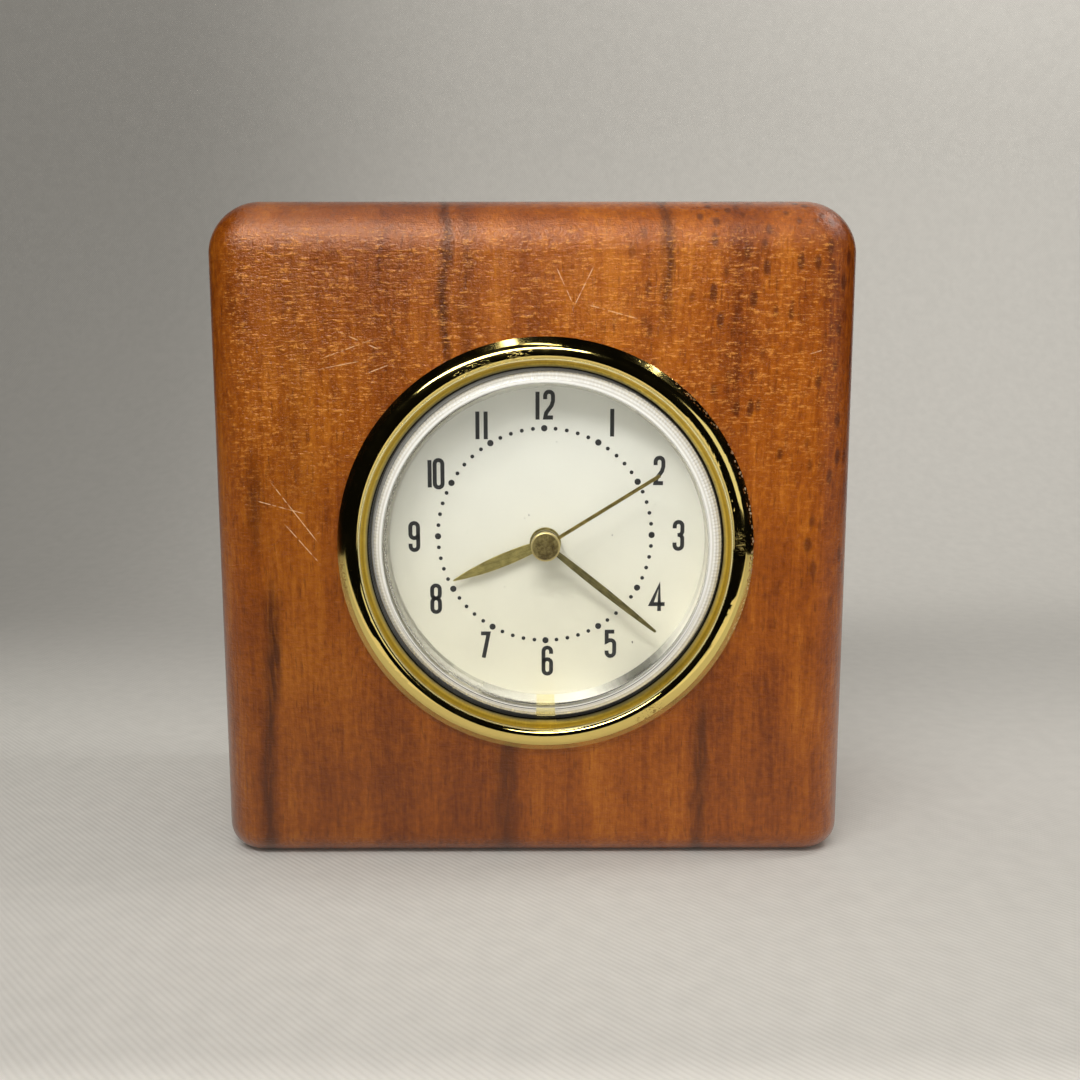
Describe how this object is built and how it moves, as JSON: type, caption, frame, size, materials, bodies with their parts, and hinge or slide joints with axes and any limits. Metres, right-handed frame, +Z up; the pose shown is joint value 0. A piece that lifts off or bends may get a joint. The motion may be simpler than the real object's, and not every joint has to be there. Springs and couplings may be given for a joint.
{
  "type": "desk clock",
  "caption": "Desk clock: a rounded wooden block with a round quartz insert pushed into a blind bore of its front face; gold bezel, clear crystal cup, white numbered dial.",
  "frame": {"origin": "centre of the block's underside", "axes": "+Z up, the dial faces -Y, +X to the right as seen from the front"},
  "size_m": [0.0762, 0.04, 0.0788],
  "materials": {
    "varnished_wood": "semi-gloss varnish",
    "plated_brass": "polished gold plate",
    "clear_acrylic": "clear",
    "printed_dial": "satin print",
    "hand_brass": "tarnished satin",
    "case_plastic": "fine texture",
    "plate_plastic": "moulded",
    "gear_plastic": "moulded",
    "soft_rubber": "moulded",
    "screw_steel": "plated",
    "soft_iron": "annealed",
    "bush_brass": "turned",
    "board_laminate": "solder mask",
    "chip_epoxy": "cast blob",
    "can_steel": "nickel plated",
    "coil_copper": "enamelled wire",
    "magnet_alloy": "ground"
  },
  "bodies": {
    "block": {"wood_block": "varnished_wood"},
    "insert": {"bezel": "plated_brass", "crystal": "clear_acrylic", "dial": "printed_dial", "rear_case": "case_plastic", "retaining_gasket": "soft_rubber", "front_plate": "plate_plastic", "train_bridge": "plate_plastic", "bridge_screws": "screw_steel", "centre_bush": "bush_brass", "circuit_board": "board_laminate", "circuit_chip": "chip_epoxy", "quartz_can": "can_steel", "coil_bobbin": "plate_plastic", "coil_winding": "coil_copper", "coil_core": "soft_iron", "stator": "soft_iron", "motor_screws": "screw_steel", "battery": "can_steel", "battery_plus_contact": "screw_steel", "battery_minus_contact": "screw_steel"},
    "hatch": {"battery_hatch": "case_plastic"},
    "second_arbor": {"second_wheel": "gear_plastic", "second_hand": "hand_brass", "second_hand_cap": "hand_brass"},
    "rotor": {"rotor_magnet": "magnet_alloy", "rotor_pinion": "gear_plastic"},
    "intermediate": {"intermediate_wheel": "gear_plastic"},
    "third": {"third_wheel": "gear_plastic"},
    "centre": {"centre_wheel": "gear_plastic"},
    "minute_arbor": {"cannon_pinion": "gear_plastic", "minute_hand": "hand_brass"},
    "motion": {"motion_wheel": "gear_plastic"},
    "hour_pipe": {"hour_wheel": "gear_plastic", "hour_hand": "hand_brass"},
    "setting": {"setting_arbor": "case_plastic", "setting_knob": "case_plastic"}
  },
  "joints": [
    {"name": "insert_pull", "type": "slide", "parent": "block", "child": "insert", "axis": [0, -1, 0], "range_m": [0, 0.022]},
    {"name": "hatch_turn", "type": "hinge", "parent": "insert", "child": "hatch", "pos_m": [0.00775, 0, 0.02747], "axis": [0, 1, 0], "range_deg": [0, 60]},
    {"name": "second_spin", "type": "hinge", "parent": "insert", "child": "second_arbor", "pos_m": [0.0015, 0, 0.0383], "axis": [0, 1, 0], "continuous": true},
    {"name": "rotor_spin", "type": "hinge", "parent": "insert", "child": "rotor", "pos_m": [-0.00889, 0, 0.0393], "axis": [0, 1, 0], "continuous": true},
    {"name": "intermediate_spin", "type": "hinge", "parent": "insert", "child": "intermediate", "pos_m": [-0.00435, 0, 0.04527], "axis": [0, 1, 0], "continuous": true},
    {"name": "third_spin", "type": "hinge", "parent": "insert", "child": "third", "pos_m": [0.00945, 0, 0.04289], "axis": [0, 1, 0], "continuous": true},
    {"name": "centre_spin", "type": "hinge", "parent": "insert", "child": "centre", "pos_m": [0.0015, 0, 0.0383], "axis": [0, 1, 0], "continuous": true},
    {"name": "minute_spin", "type": "hinge", "parent": "insert", "child": "minute_arbor", "pos_m": [0.0015, 0, 0.0383], "axis": [0, 1, 0], "continuous": true},
    {"name": "motion_spin", "type": "hinge", "parent": "insert", "child": "motion", "pos_m": [0.00087, 0, 0.03233], "axis": [0, 1, 0], "continuous": true},
    {"name": "hour_spin", "type": "hinge", "parent": "insert", "child": "hour_pipe", "pos_m": [0.0015, 0, 0.0383], "axis": [0, 1, 0], "continuous": true},
    {"name": "setting_spin", "type": "hinge", "parent": "insert", "child": "setting", "pos_m": [-0.00452, 0, 0.0297], "axis": [0, 1, 0], "continuous": true}
  ],
  "couplings": [
    {"joint": "rotor_spin", "follows": "second_spin", "ratio": 30},
    {"joint": "intermediate_spin", "follows": "second_spin", "ratio": -6},
    {"joint": "third_spin", "follows": "second_spin", "ratio": -0.13333},
    {"joint": "centre_spin", "follows": "second_spin", "ratio": 0.016667},
    {"joint": "motion_spin", "follows": "minute_spin", "ratio": -0.33333},
    {"joint": "hour_spin", "follows": "minute_spin", "ratio": 0.083333},
    {"joint": "setting_spin", "follows": "minute_spin", "ratio": 1}
  ]
}
